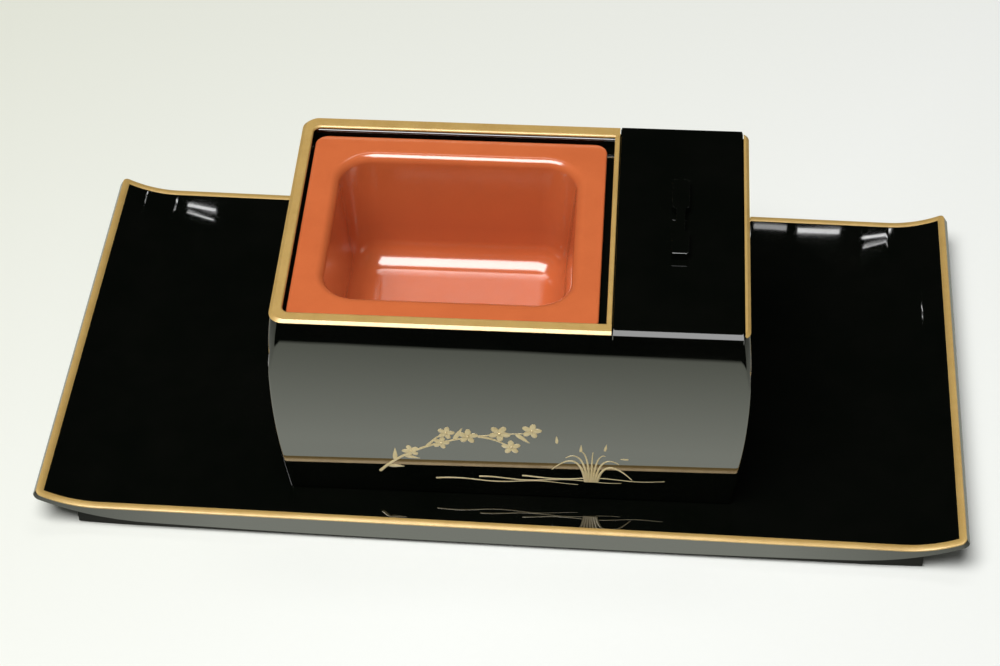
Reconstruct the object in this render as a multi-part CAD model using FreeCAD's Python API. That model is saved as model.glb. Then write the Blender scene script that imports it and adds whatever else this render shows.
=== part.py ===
import FreeCAD
import Part
import math
import os

os.makedirs("parts", exist_ok=True)

# tray
tray_length = 434.0
tray_depth = 226.0
tray_thickness = 9.5
tray_tip_thickness = 4.0
tray_end_rise = 7.8
tray_end_radius = 56.0
tray_under_run = 57.0
tray_corner_radius = 3.0
tray_edge_round = 0.8
# foot rails under the tray
foot_height = 4.0
foot_width = 14.0
foot_setback = 2.0
foot_end_setback = 20.0
foot_end_run = 28.0
foot_end_lift = 1.2

# box
box_offset_x = 3.6
box_front_margin = 19.4
box_turn = 0.9
box_width = 212.0
box_depth = 142.6
box_height = 108.5
side_bulge = 2.4
bulge_below_rim = 54.0
side_foot_inset = 3.0
rim_width = 5.4
long_rim_width = 6.5
side_inner_taper = 2.0
tub_corner_outer = 6.0
lid_corner_outer = 3.0
inner_corner = 3.6
rim_edge_round = 0.9
# bottom board of the box
bottom_thickness = 5.5
bottom_recess = 3.0
groove_depth = 2.0
# divider
divider_thickness = 6.5
divider_strip = 2.3
divider_left = 43.0
divider_edge_round = 0.5

# tub
tub_recess = 4.0
flange_thickness = 3.0
flange_corner = 5.0
gap_tub_left = 1.0
gap_tub_divider = 3.5
gap_tub_front = 1.0
gap_tub_back = 2.3
flange_left = 13.7
flange_right = 13.1
flange_front = 15.7
flange_back = 14.3
tub_depth = 60.0
tub_wall = 2.5
tub_draft = 5.5
tub_corner_top = 16.0
tub_corner_floor = 13.0
tub_floor_round = 12.0
tub_lip_round = 4.0

# ledge strips that carry the tub
ledge_width = 5.0
ledge_height = 6.0

# lid
lid_thickness = 4.0
lid_side_gap = 0.3
lid_end_setback = 0.3
lid_lip = 2.2
lid_edge_round = 0.5
batten_width = 7.0
batten_height = 5.0
batten_end_gap = 0.6
batten_side_gap = 3.6
# handle on the lid
handle_length = 51.0
handle_width = 8.0
handle_waist = 4.0
handle_waist_length = 15.0
handle_waist_forward = 2.4
handle_blend_length = 1.2
handle_height = 4.0
handle_offset_back = 4.2
handle_top_round = 0.6


def vec(x, y, z):
    return FreeCAD.Vector(x, y, z)


def block(x0, x1, y0, y1, z0, z1):
    return Part.makeBox(x1 - x0, y1 - y0, z1 - z0, vec(x0, y0, z0))


def line(a, b):
    return Part.makeLine(a, b)


def arc(a, b, c):
    return Part.Arc(a, b, c).toShape()


def prism(edges, direction):
    return Part.Face(Part.Wire(edges)).extrude(direction)


def edges_along(solid, test):
    return [e for e in solid.Edges if test(e)]


def rounded_rect(x0, x1, y0, y1, radius, z):
    corner = block(x0, x1, y0, y1, z, z + 1.0)
    upright = edges_along(corner, lambda e: abs(e.Vertexes[0].Z - e.Vertexes[1].Z) > 0.5)
    filleted = corner.makeFillet(radius, upright)
    floor = [f for f in filleted.Faces if abs(f.CenterOfMass.z - z) < 1e-6]
    return floor[0].OuterWire


def save(shape, node):
    solid = shape
    if shape.ShapeType != "Solid":
        solid = shape.Solids[0]
    print(node, "solids", len(shape.Solids), "valid", solid.isValid(), "volume", round(solid.Volume, 1))
    solid.exportStep("parts/" + node + ".step")


# tray board: flat top with turned-up ends, underside sweeping up to thin tips
tray_top = foot_height + tray_thickness
end_angle = math.acos(1.0 - tray_end_rise / tray_end_radius)
tip_outer_radius = tray_end_radius + tray_tip_thickness
half_flat = tray_length / 2 - tip_outer_radius * math.sin(end_angle)
tip_top_x = half_flat + tray_end_radius * math.sin(end_angle)
tip_top_z = tray_top + tray_end_rise
tip_low_x = tray_length / 2
tip_low_z = tray_top + tray_end_radius - tip_outer_radius * math.cos(end_angle)
under_rise = tip_low_z - foot_height
under_radius = (tray_under_run ** 2 + under_rise ** 2) / (2 * under_rise)
half_under = tray_length / 2 - tray_under_run


def top_arc_z(run):
    return tray_top + tray_end_radius - math.sqrt(tray_end_radius ** 2 - run ** 2)


def under_arc_z(run):
    return foot_height + under_radius - math.sqrt(under_radius ** 2 - run ** 2)


def tray_point(side, x, z):
    return vec(side * x, -tray_depth / 2, z)


def tray_end_edges(side):
    top_in = tray_point(side, half_flat, tray_top)
    top_run = (tip_top_x - half_flat) / 2
    top_mid = tray_point(side, half_flat + top_run, top_arc_z(top_run))
    top_out = tray_point(side, tip_top_x, tip_top_z)
    low_out = tray_point(side, tip_low_x, tip_low_z)
    low_mid = tray_point(side, half_under + tray_under_run / 2, under_arc_z(tray_under_run / 2))
    low_in = tray_point(side, half_under, foot_height)
    return [arc(top_in, top_mid, top_out), line(top_out, low_out), arc(low_out, low_mid, low_in)]


tray_edges = tray_end_edges(1)
tray_edges.append(line(tray_point(1, half_under, foot_height), tray_point(-1, half_under, foot_height)))
tray_edges.extend(reversed(tray_end_edges(-1)))
tray_edges.append(line(tray_point(-1, half_flat, tray_top), tray_point(1, half_flat, tray_top)))
tray_raw = prism(Part.__sortEdges__(tray_edges), vec(0, tray_depth, 0))


def is_tray_corner(e):
    ends = [v.Point for v in e.Vertexes]
    same_y = len(ends) == 2 and abs(ends[0].y - ends[1].y) < 1e-6
    at_tip = same_y and min(abs(ends[0].x), abs(ends[1].x)) > tip_top_x - 1e-3
    return at_tip


tray_cornered = tray_raw.makeFillet(tray_corner_radius, edges_along(tray_raw, is_tray_corner))


def is_tray_rim(e):
    box = e.BoundBox
    high = box.ZMin > tray_top - 1e-3
    on_long_edge = box.YLength < 1e-3 and abs(abs(box.YMin) - tray_depth / 2) < 1e-3
    on_tip = box.ZMin > tip_top_z - 1.0 and box.XLength < tray_corner_radius + 1.0
    return high and (on_long_edge or on_tip) and box.ZMax < tip_top_z + 1e-3


tray_rim = edges_along(tray_cornered, is_tray_rim)
tray_board = tray_cornered.makeFillet(tray_edge_round, tray_rim)
save(tray_board, "tray_board")

# foot rails: each fills the space between the table and the underside of the board
foot_half = tray_length / 2 - foot_end_setback
foot_face = tray_depth / 2 - foot_setback
foot_radius = (foot_end_run ** 2 + foot_end_lift ** 2) / (2 * foot_end_lift)


def foot_lift(run):
    return foot_radius - math.sqrt(foot_radius ** 2 - run ** 2)


def foot_rail(side):
    y = side * foot_face
    inner = foot_half - foot_end_run
    a = vec(-inner, y, 0)
    b = vec(inner, y, 0)
    b_mid = vec(inner + foot_end_run / 2, y, foot_lift(foot_end_run / 2))
    c = vec(foot_half, y, foot_end_lift)
    d = vec(foot_half, y, tray_top)
    e = vec(-foot_half, y, tray_top)
    f = vec(-foot_half, y, foot_end_lift)
    f_mid = vec(-inner - foot_end_run / 2, y, foot_lift(foot_end_run / 2))
    outline = [line(a, b), arc(b, b_mid, c), line(c, d), line(d, e), line(e, f), arc(f, f_mid, a)]
    blank = prism(outline, vec(0, -side * foot_width, 0))
    pieces = blank.cut(tray_board).Solids
    return min(pieces, key=lambda s: s.BoundBox.ZMin)


save(foot_rail(-1), "tray_foot_front")
save(foot_rail(1), "tray_foot_back")

# box: everything below is drawn about the box centre, then turned and moved to its place on the tray
box_low = tray_top
rim_top = box_low + box_height
half_width = box_width / 2
half_depth = box_depth / 2
inner_half_top = half_width - rim_width
inner_half_depth = half_depth - long_rim_width
box_offset_y = -tray_depth / 2 + box_front_margin + half_depth
box_place = vec(box_offset_x, box_offset_y, 0)


def inner_half_width(z):
    return inner_half_top - side_inner_taper * (rim_top - z) / box_height


def placed(shape):
    moved = shape.copy()
    moved.rotate(vec(0, 0, 0), vec(0, 0, 1), box_turn)
    moved.translate(box_place)
    return moved


def side_edges(side):
    low = vec(side * (half_width - side_foot_inset), -half_depth, box_low)
    mid = vec(side * (half_width + side_bulge), -half_depth, rim_top - bulge_below_rim)
    top = vec(side * half_width, -half_depth, rim_top)
    return low, mid, top


left_low, left_mid, left_top = side_edges(-1)
right_low, right_mid, right_top = side_edges(1)
hull_outline = [line(left_low, right_low), arc(right_low, right_mid, right_top)]
hull_outline.extend([line(right_top, left_top), arc(left_top, left_mid, left_low)])
hull_raw = prism(hull_outline, vec(0, box_depth, 0))


def upright_on(side):
    def test(e):
        box = e.BoundBox
        return box.ZLength > box_height / 2 and side * box.Center.x > 0
    return test


hull_left = hull_raw.makeFillet(tub_corner_outer, edges_along(hull_raw, upright_on(-1)))
hull = hull_left.makeFillet(lid_corner_outer, edges_along(hull_left, upright_on(1))[:2])

inner_low = inner_half_width(box_low)
cavity_points = [
    vec(-inner_low, -inner_half_depth, box_low),
    vec(inner_low, -inner_half_depth, box_low),
    vec(inner_half_top, -inner_half_depth, rim_top),
    vec(-inner_half_top, -inner_half_depth, rim_top),
]
cavity_raw = Part.Face(Part.makePolygon(cavity_points + cavity_points[:1])).extrude(
    vec(0, 2 * inner_half_depth, 0))
cavity_uprights = edges_along(cavity_raw, lambda e: e.BoundBox.ZLength > box_height / 2)
cavity = cavity_raw.makeFillet(inner_corner, cavity_uprights)
shell_raw = hull.cut(cavity)
rim_edges = edges_along(shell_raw, lambda e: e.BoundBox.ZMin > rim_top - 1e-3)
shell = shell_raw.makeFillet(rim_edge_round, rim_edges)

# lid seat: the lid lies between the divider strip and the right-hand lip
seat_z = rim_top - lid_thickness
slot_left = divider_left + divider_strip
slot_right = half_width - lid_lip
lid_slot = block(slot_left, slot_right, -box_depth, box_depth, seat_z, rim_top + lid_thickness)

# bottom board in its groove, divider let into the front and back walls
bottom_low = box_low + bottom_recess
bottom_high = bottom_low + bottom_thickness
bottom_half_x = inner_half_width(bottom_low) + groove_depth
bottom_half_y = inner_half_depth + groove_depth
bottom_board = block(-bottom_half_x, bottom_half_x, -bottom_half_y, bottom_half_y, bottom_low, bottom_high)
save(placed(bottom_board), "box_bottom_board")

divider_right = divider_left + divider_thickness
divider_blank = block(divider_left, divider_right, -bottom_half_y, bottom_half_y, bottom_high, rim_top)
divider_stepped = divider_blank.cut(lid_slot)


def is_strip_edge(e):
    box = e.BoundBox
    return box.ZMin > rim_top - 1e-3 and box.YLength > box_depth / 2


divider = divider_stepped.makeFillet(divider_edge_round, edges_along(divider_stepped, is_strip_edge))
save(placed(divider), "box_divider")

# four mitred walls
reach = box_depth
mitre_in = max(rim_width, long_rim_width) + 3 * inner_corner


def mitre_prism(points):
    loop = [vec(x, y, 0) for x, y in points]
    return Part.Face(Part.makePolygon(loop + loop[:1])).extrude(vec(0, 0, rim_top + reach))


def long_mitre(side):
    return mitre_prism([
        (-half_width - reach, side * (half_depth + reach)),
        (half_width + reach, side * (half_depth + reach)),
        (half_width - mitre_in, side * (half_depth - mitre_in)),
        (-half_width + mitre_in, side * (half_depth - mitre_in)),
    ])


def short_mitre(side):
    return mitre_prism([
        (side * (half_width + reach), -half_depth - reach),
        (side * (half_width + reach), half_depth + reach),
        (side * (half_width - mitre_in), half_depth - mitre_in),
        (side * (half_width - mitre_in), -half_depth + mitre_in),
    ])


def wall(cutter, node):
    blank = shell.common(cutter)
    grooved = blank.cut(bottom_board).cut(divider_blank)
    save(placed(grooved.cut(lid_slot)), node)


wall(long_mitre(-1), "box_front_wall")
wall(long_mitre(1), "box_back_wall")
wall(short_mitre(-1), "box_left_wall")
wall(short_mitre(1), "box_right_wall")

# ledge strips under the flange of the tub
flange_top = rim_top - tub_recess
flange_low = flange_top - flange_thickness
ledge_low = flange_low - ledge_height
ledge_left_end = -inner_half_top + inner_corner + side_inner_taper
ledge_inner_y = inner_half_depth - ledge_width
front_ledge = block(ledge_left_end, divider_left, -inner_half_depth, -ledge_inner_y, ledge_low, flange_low)
back_ledge = block(ledge_left_end, divider_left, ledge_inner_y, inner_half_depth, ledge_low, flange_low)
left_ledge_blank = block(-half_width, -inner_half_top + ledge_width,
                         -ledge_inner_y, ledge_inner_y, ledge_low, flange_low)
left_ledge = left_ledge_blank.common(cavity)
divider_ledge = block(divider_left - ledge_width, divider_left,
                      -ledge_inner_y, ledge_inner_y, ledge_low, flange_low)
save(placed(front_ledge), "tub_ledge_front")
save(placed(back_ledge), "tub_ledge_back")
save(placed(left_ledge), "tub_ledge_left")
save(placed(divider_ledge), "tub_ledge_divider")

# lift-out tub: flat flange and a drafted bowl with a rolled lip
flange_x0 = -inner_half_top + gap_tub_left
flange_x1 = divider_left - gap_tub_divider
flange_y0 = -inner_half_depth + gap_tub_front
flange_y1 = inner_half_depth - gap_tub_back
open_x0 = flange_x0 + flange_left
open_x1 = flange_x1 - flange_right
open_y0 = flange_y0 + flange_front
open_y1 = flange_y1 - flange_back
tub_floor_z = flange_top - tub_depth
draft_ratio = tub_draft / tub_depth
side_thickness = tub_wall * math.sqrt(1.0 + draft_ratio ** 2)


def bowl_section(z, outset):
    inset = draft_ratio * (flange_top - z) - outset
    share = (flange_top - z) / tub_depth
    radius = tub_corner_top + (tub_corner_floor - tub_corner_top) * share + outset
    return rounded_rect(open_x0 + inset, open_x1 - inset, open_y0 + inset, open_y1 - inset, radius, z)


def bowl(z_high, z_low, outset, floor_round):
    body = Part.makeLoft([bowl_section(z_high, outset), bowl_section(z_low, outset)], True, True)
    floor = edges_along(body, lambda e: e.BoundBox.ZMax < z_low + 1e-3)
    return body.makeFillet(floor_round, floor)


flange_wire = rounded_rect(flange_x0, flange_x1, flange_y0, flange_y1, flange_corner, flange_low)
flange = Part.Face(flange_wire).extrude(vec(0, 0, flange_thickness))
bowl_outer = bowl(flange_low + flange_thickness / 2, tub_floor_z - tub_wall, side_thickness,
                  tub_floor_round + tub_wall)
bowl_inner = bowl(flange_top, tub_floor_z, 0.0, tub_floor_round)
tub_raw = flange.fuse(bowl_outer).cut(bowl_inner)


def is_tub_lip(e):
    box = e.BoundBox
    level = box.ZMin > flange_top - 1e-3
    inside = box.XMin > open_x0 - 1e-2 and box.XMax < open_x1 + 1e-2
    return level and inside


tub = tub_raw.makeFillet(tub_lip_round, edges_along(tub_raw, is_tub_lip))
save(placed(tub), "red_tub")

# lid with two battens and a waisted handle
lid_x0 = slot_left + lid_side_gap
lid_x1 = slot_right - lid_side_gap
lid_half_y = half_depth - lid_end_setback
lid_raw = block(lid_x0, lid_x1, -lid_half_y, lid_half_y, seat_z, rim_top)
lid_top_edges = edges_along(lid_raw, lambda e: e.BoundBox.ZMin > rim_top - 1e-3)
lid_plate = lid_raw.makeFillet(lid_edge_round, lid_top_edges)
save(placed(lid_plate), "lid_plate")

batten_x0 = divider_right + batten_side_gap
batten_x1 = inner_half_top - batten_side_gap - side_inner_taper / 2
batten_out = inner_half_depth - batten_end_gap
batten_in = batten_out - batten_width
batten_low = seat_z - batten_height
save(placed(block(batten_x0, batten_x1, -batten_out, -batten_in, batten_low, seat_z)), "lid_batten_front")
save(placed(block(batten_x0, batten_x1, batten_in, batten_out, batten_low, seat_z)), "lid_batten_back")

handle_x = (lid_x0 + lid_x1) / 2
handle_half = handle_length / 2
waist_half = handle_waist_length / 2
shoulder_y = waist_half + handle_blend_length


def handle_side(side):
    wide = side * handle_width / 2
    slim = side * handle_waist / 2
    return [
        (wide, -handle_half),
        (wide, -shoulder_y - handle_waist_forward),
        (slim, -waist_half - handle_waist_forward),
        (slim, waist_half - handle_waist_forward),
        (wide, shoulder_y - handle_waist_forward),
        (wide, handle_half),
    ]


handle_loop = handle_side(1) + list(reversed(handle_side(-1)))
handle_points = [vec(handle_x + x, handle_offset_back + y, rim_top) for x, y in handle_loop]
handle_raw = Part.Face(Part.makePolygon(handle_points + handle_points[:1])).extrude(vec(0, 0, handle_height))
handle_top_z = rim_top + handle_height
handle_top = edges_along(handle_raw, lambda e: e.BoundBox.ZMin > handle_top_z - 1e-3)
lid_handle = handle_raw.makeFillet(handle_top_round, handle_top)
save(placed(lid_handle), "lid_handle")
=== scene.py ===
import math
import random

import bmesh
import bpy
from mathutils import Matrix, Vector


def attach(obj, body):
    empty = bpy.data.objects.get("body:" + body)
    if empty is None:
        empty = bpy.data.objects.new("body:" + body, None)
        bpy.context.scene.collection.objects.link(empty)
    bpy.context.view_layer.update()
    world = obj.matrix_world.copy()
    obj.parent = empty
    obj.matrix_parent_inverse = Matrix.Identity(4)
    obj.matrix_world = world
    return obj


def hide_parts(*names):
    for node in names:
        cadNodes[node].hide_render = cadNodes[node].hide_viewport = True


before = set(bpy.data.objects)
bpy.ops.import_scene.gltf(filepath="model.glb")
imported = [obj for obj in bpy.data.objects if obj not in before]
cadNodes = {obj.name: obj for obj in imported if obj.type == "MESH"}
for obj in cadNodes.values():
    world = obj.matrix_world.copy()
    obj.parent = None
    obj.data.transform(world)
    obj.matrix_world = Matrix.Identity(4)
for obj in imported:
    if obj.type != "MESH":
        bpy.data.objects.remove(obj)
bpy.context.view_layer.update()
mm = 0.001   # lengths in the dictionaries named Shape are in millimetres
print("frame loaded,", len(cadNodes), "solids")


class Sock:
    # a node's output that takes part in ordinary arithmetic
    def __init__(self, paint, link):
        self.paint = paint
        self.link = link

    def __add__(self, other):
        return self.paint.maths("ADD", self, other)

    def __sub__(self, other):
        return self.paint.maths("SUBTRACT", self, other)

    def __rsub__(self, other):
        return self.paint.maths("SUBTRACT", other, self)

    def __mul__(self, other):
        return self.paint.maths("MULTIPLY", self, other)


class Paint:
    # one node tree: any node comes from node(), with its settings first and then its sockets
    def __init__(self, tree):
        self.tree = tree
        tree.nodes.clear()

    def node(self, kind, settings=None, sockets=None, out=0):
        made = self.tree.nodes.new(kind)
        for key, value in (settings or {}).items():
            setattr(made, key, value)
        for key, value in (sockets or {}).items():
            for each in value if isinstance(value, list) else [value]:
                if isinstance(each, Sock):
                    self.tree.links.new(each.link, made.inputs[key])
                else:
                    made.inputs[key].default_value = each
        return Sock(self, made.outputs[out] if made.outputs else None)

    def maths(self, operation, first, second):
        return self.node("ShaderNodeMath", {"operation": operation}, {0: first, 1: second})

    def noise(self, place, scale, detail=2.0, rough=0.5):
        return self.node("ShaderNodeTexNoise", None, {
            "Vector": place, "Scale": scale, "Detail": detail, "Roughness": rough})

    def spread(self, value, low, high, toLow, toHigh):
        return self.node("ShaderNodeMapRange", {"clamp": True}, {
            "Value": value, "From Min": low, "From Max": high, "To Min": toLow, "To Max": toHigh})

    def blend(self, share, first, second):
        return self.node("ShaderNodeMix", {"data_type": "RGBA"}, {0: share, 6: first, 7: second}, 2)

    def bump(self, strength, distance, height):
        return self.node("ShaderNodeBump", None, {
            "Strength": strength, "Distance": distance, "Height": height})

    def axes(self, place):
        return [self.node("ShaderNodeSeparateXYZ", None, {"Vector": place}, k) for k in range(3)]

    def vector(self, x, y, z):
        return self.node("ShaderNodeCombineXYZ", None, {0: x, 1: y, 2: z})

    def surface(self, sockets):
        return self.node("ShaderNodeBsdfPrincipled", None, sockets)

    def close(self, shader, kind="ShaderNodeOutputMaterial"):
        self.node(kind, None, {"Surface": shader})


def newFinish(name):
    material = bpy.data.materials.new(name)
    material.use_nodes = True
    paint = Paint(material.node_tree)
    return material, paint, paint.node("ShaderNodeTexCoord", out="Object")


def colour(red, green, blue):
    return (red, green, blue, 1.0)


def clearCoat(look):
    return {"Coat Weight": look["coat"], "Coat Roughness": look["coatRough"], "Coat IOR": look["coatIndex"]}


lacquerLook = {
    "black": colour(0.0015, 0.0021, 0.0013),
    "bloom": colour(0.0026, 0.0029, 0.0021),   # a little paler where the polish is thinner
    "cloudScale": 38.0, "fineScale": 900.0,
    "roughLow": 0.010, "roughHigh": 0.035,
    "ripple": 0.00004, "rippleScale": 26.0,    # long waves in the polished ground
    "index": 1.8,
    "coat": 1.0, "coatRough": 0.008, "coatIndex": 1.6,
}


def blackLacquer():
    look = lacquerLook
    material, paint, place = newFinish("blackLacquer")
    cloud = paint.noise(place, look["cloudScale"], 3.0, 0.55)
    fine = paint.noise(place, look["fineScale"], 2.0)
    wave = paint.noise(place, look["rippleScale"], 1.0, 0.4)
    tint = paint.blend(paint.spread(cloud, 0.35, 0.75, 0.0, 1.0), look["black"], look["bloom"])
    rough = paint.spread(cloud * 0.7 + fine * 0.3, 0.3, 0.7, look["roughLow"], look["roughHigh"])
    paint.close(paint.surface({
        "Base Color": tint, "Roughness": rough, "IOR": look["index"],
        "Normal": paint.bump(1.0, look["ripple"], wave), **clearCoat(look)}))
    return material


undercoatLook = {
    "dark": colour(0.0022, 0.0020, 0.0018),
    "brown": colour(0.0055, 0.0042, 0.003),
    "stroke": (20.0, 260.0, 260.0), "strokeScale": 3.0,   # brush marks along the length
    "cloudScale": 45.0,
    "roughLow": 0.34, "roughHigh": 0.52, "specular": 0.2,
    "brush": 0.00008,
}


def blackUndercoat():
    look = undercoatLook
    material, paint, place = newFinish("blackUndercoat")
    along = paint.node("ShaderNodeMapping", None, {"Vector": place, "Scale": look["stroke"]})
    brush = paint.noise(along, look["strokeScale"], 4.0, 0.6)
    cloud = paint.noise(place, look["cloudScale"], 3.0)
    worn = paint.spread(brush * 0.6 + cloud * 0.4, 0.35, 0.7, 0.0, 1.0)
    rough = paint.spread(brush, 0.3, 0.7, look["roughLow"], look["roughHigh"])
    paint.close(paint.surface({
        "Base Color": paint.blend(worn, look["dark"], look["brown"]), "Roughness": rough,
        "Specular IOR Level": look["specular"], "Normal": paint.bump(0.5, look["brush"], brush)}))
    return material


vermilionLook = {
    "red": colour(0.665, 0.160, 0.051),
    "deep": colour(0.610, 0.140, 0.043),
    "cloudScale": 55.0, "speckScale": 1400.0,
    "shadeRed": colour(0.460, 0.098, 0.033),                        # painted shade: a darker red down the sides of the tub
    "wellLow": 0.058, "wellMiddle": 0.078, "wellHigh": 0.112,   # metres above the table
    "wellFloor": 0.42, "wellSide": 0.85,                        # share of the painted shade, low and half way up
    "roughLow": 0.16, "roughHigh": 0.24,
    "index": 1.5,
    "coat": 1.0, "coatRough": 0.12, "coatIndex": 1.6,
    "peel": 0.00003, "peelScale": 160.0,
}


def vermilionLacquer():
    look = vermilionLook
    material, paint, place = newFinish("vermilionLacquer")
    cloud = paint.noise(place, look["cloudScale"], 4.0, 0.6)
    speck = paint.noise(place, look["speckScale"], 2.0, 0.6)
    mottle = paint.spread(cloud * 0.75 + speck * 0.25, 0.35, 0.7, 0.0, 1.0)
    # painted shade: the red darkens inside the tub, most half way up the sides and less on its floor
    height = paint.axes(place)[2]
    below = paint.spread(height, look["wellLow"], look["wellMiddle"], look["wellFloor"], look["wellSide"])
    above = paint.spread(height, look["wellMiddle"], look["wellHigh"], 1.0, 0.0)
    tint = paint.blend(below * above, paint.blend(mottle, look["red"], look["deep"]), look["shadeRed"])
    rough = paint.spread(cloud, 0.3, 0.7, look["roughLow"], look["roughHigh"])
    peel = paint.noise(place, look["peelScale"], 2.0)
    paint.close(paint.surface({
        "Base Color": tint, "Roughness": rough, "IOR": look["index"],
        "Normal": paint.bump(0.6, look["peel"], peel), **clearCoat(look)}))
    return material


giltLook = {
    "line": (colour(0.68, 0.44, 0.128), colour(0.57, 0.35, 0.090), colour(0.74, 0.55, 0.29)),
    "dusted": (colour(0.74, 0.60, 0.32), colour(0.64, 0.50, 0.235), colour(0.76, 0.68, 0.50)),   # paler
    "wornScale": 70.0, "powderScale": 2600.0, "paleShare": 0.7,
    "metal": 0.3, "index": 1.5,
    "coat": 0.75, "coatRough": 0.28, "coatIndex": 1.7,   # clear lacquer over the powder
    "roughLow": 0.38, "roughHigh": 0.52,
    "grain": 0.00003,
}


def giltPaint(name, gold, rubbed, pale):
    look = giltLook
    material, paint, place = newFinish(name)
    worn = paint.noise(place, look["wornScale"], 4.0, 0.62)
    powder = paint.noise(place, look["powderScale"], 2.0, 0.7)
    ground = paint.blend(paint.spread(worn, 0.38, 0.72, 0.0, 1.0), gold, rubbed)
    tint = paint.blend(paint.spread(powder, 0.52, 0.72, 0.0, look["paleShare"]), ground, pale)
    rough = paint.spread(powder * 0.5 + worn * 0.5, 0.35, 0.65, look["roughLow"], look["roughHigh"])
    paint.close(paint.surface({
        "Base Color": tint, "Roughness": rough, "Metallic": look["metal"], "IOR": look["index"],
        "Normal": paint.bump(0.7, look["grain"], powder), **clearCoat(look)}))
    return material


lacquer = blackLacquer()
undercoatAndShade = blackUndercoat()
vermilion = vermilionLacquer()
gilt = giltPaint("giltPaint", *giltLook["line"])
dustedGilt = giltPaint("dustedGilt", *giltLook["dusted"])
print("finishes ready")


boxTurn = Matrix.Rotation(math.radians(0.9), 4, "Z")   # the box stands a little askew on the tray


def boxOf(node, turned=True):
    # lowest and highest corners of a solid, square to the box or else to the tray
    points = [vertex.co / mm for vertex in cadNodes[node].data.vertices]
    if turned:
        points = [boxTurn.inverted() @ point for point in points]
    low = Vector([min(point[k] for point in points) for k in range(3)])
    high = Vector([max(point[k] for point in points) for k in range(3)])
    return low, high


def placed(name, data):
    made = bpy.data.objects.new(name, data)
    bpy.context.scene.collection.objects.link(made)
    return made


def meshOf(work, name):
    mesh = bpy.data.meshes.new(name)
    work.to_mesh(mesh)
    work.free()
    return mesh


def skin(name, rows, joined=False):
    # quads between neighbouring rows of points, capped at the ends or joined end to end
    work = bmesh.new()
    grid = [[work.verts.new(Vector(point) * mm) for point in row] for row in rows]
    pairs = list(zip(grid, grid[1:]))
    if joined:
        pairs.append((grid[-1], grid[0]))
    else:
        work.faces.new(list(reversed(grid[0])))
        work.faces.new(grid[-1])
    for near, far in pairs:
        for i in range(len(near)):
            j = (i + 1) % len(near)
            work.faces.new((near[i], near[j], far[j], far[i]))
    bmesh.ops.remove_doubles(work, verts=work.verts, dist=1e-7)
    bmesh.ops.recalc_face_normals(work, faces=work.faces)
    return meshOf(work, name)


def outline(x0, x1, y0, y1, radii, z, steps=8, guard=1.0):
    # a rounded rectangle; the guard points keep the straight sides' shading flat
    left, right = radii
    corners = [
        (x0 + left, y0 + left, left, 180),
        (x1 - right, y0 + right, right, 270),
        (x1 - right, y1 - right, right, 0),
        (x0 + left, y1 - left, left, 90),
    ]
    ring = []
    for x, y, radius, start in corners:
        turns = quarter(steps, start, start + 90)
        arc = [(x + radius * math.cos(a), y + radius * math.sin(a)) for a in turns]
        first, last = turns[0], turns[-1]
        ring.append((arc[0][0] + guard * math.sin(first), arc[0][1] - guard * math.cos(first)))
        ring.extend(arc)
        ring.append((arc[-1][0] - guard * math.sin(last), arc[-1][1] + guard * math.cos(last)))
    return [(x, y, z) for x, y in ring]


def quarter(steps, start=0, end=90):
    return [math.radians(start + (end - start) * k / steps) for k in range(steps + 1)]


def cutAway(mesh, low, high):
    # takes a plain block out of a mesh
    block = [[(low.x, low.y, z), (high.x, low.y, z), (high.x, high.y, z), (low.x, high.y, z)]
             for z in (low.z, high.z)]
    cutter = placed("cutter", skin("cutter", block))
    holder = placed("holder", mesh)
    cut = holder.modifiers.new("cut", "BOOLEAN")
    cut.operation = "DIFFERENCE"
    cut.solver = "EXACT"
    cut.object = cutter
    made = plainMesh(holder, mesh.name)
    for each in (cutter, holder):
        bpy.data.objects.remove(each)
    return made


def plainMesh(holder, name):
    shown = bpy.context.evaluated_depsgraph_get()
    made = bpy.data.meshes.new_from_object(holder.evaluated_get(shown))
    made.name = name
    return made


def addPiece(name, mesh, body, finish, stands=(), crease=38):
    piece = placed(name, mesh)
    if body != "tray":
        mesh.transform(boxTurn)
    mesh.materials.clear()
    mesh.materials.append(finish)
    mesh.polygons.foreach_set("material_index", [0] * len(mesh.polygons))
    mesh.shade_smooth()
    mesh.set_sharp_from_angle(angle=math.radians(crease))
    even = piece.modifiers.new("evenNormals", "WEIGHTED_NORMAL")
    even.weight = 90
    even.keep_sharp = True
    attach(piece, body)
    if stands:
        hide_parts(*stands)


def dress(finish, *names):
    # a better finish on solids that stay as they are
    for name in names:
        for place in cadNodes[name].material_slots:
            place.material = finish


trayShape = {
    "rise": 7.8, "endRadius": 56.0, "tip": 4.0,           # turned-up ends
    "underRun": 57.0,                                     # sweep of the underside
    "corner": 3.0,
    "edgeRun": 2.6, "edgeDrop": 0.6, "edgeFlat": 0.7,     # bevel along the top edge, and how flat it is
    "edgeGuard": 1.5, "lowEdge": 0.3, "underGap": 0.02,
    "lip": 1.8, "lipWidth": 1.6, "lipStep": 0.2,          # hangs along the long edges, in front of the feet
    "lipFade": 3, "lipLeast": 0.04,                       # thins out towards the turned-up ends
    "flatSteps": (30.0, 60.0, 90.0, 115.0, 140.0), "sweepStep": 9.0, "bendSteps": 14,
    "cornerSteps": (0.84, 0.68, 0.52, 0.38, 0.26, 0.16, 0.08, 0.03),
    "giltSkin": 0.08, "giltTop": 3.5, "giltDrop": 0.72, "giltThick": 0.25,
    "crownIn": -20.0, "crownOut": 23.0,                   # slope of the gilt at its two edges, degrees
}
trayLow, trayHigh = boxOf("tray_board", False)
trayTop = trayHigh.z - trayShape["rise"]
endTurn = math.acos(1 - trayShape["rise"] / trayShape["endRadius"])
tipRadius = trayShape["endRadius"] + trayShape["tip"]
flatHalf = trayHigh.x - tipRadius * math.sin(endTurn)
topReach = flatHalf + trayShape["endRadius"] * endTurn
underHalf = trayHigh.x - trayShape["underRun"]
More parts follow.
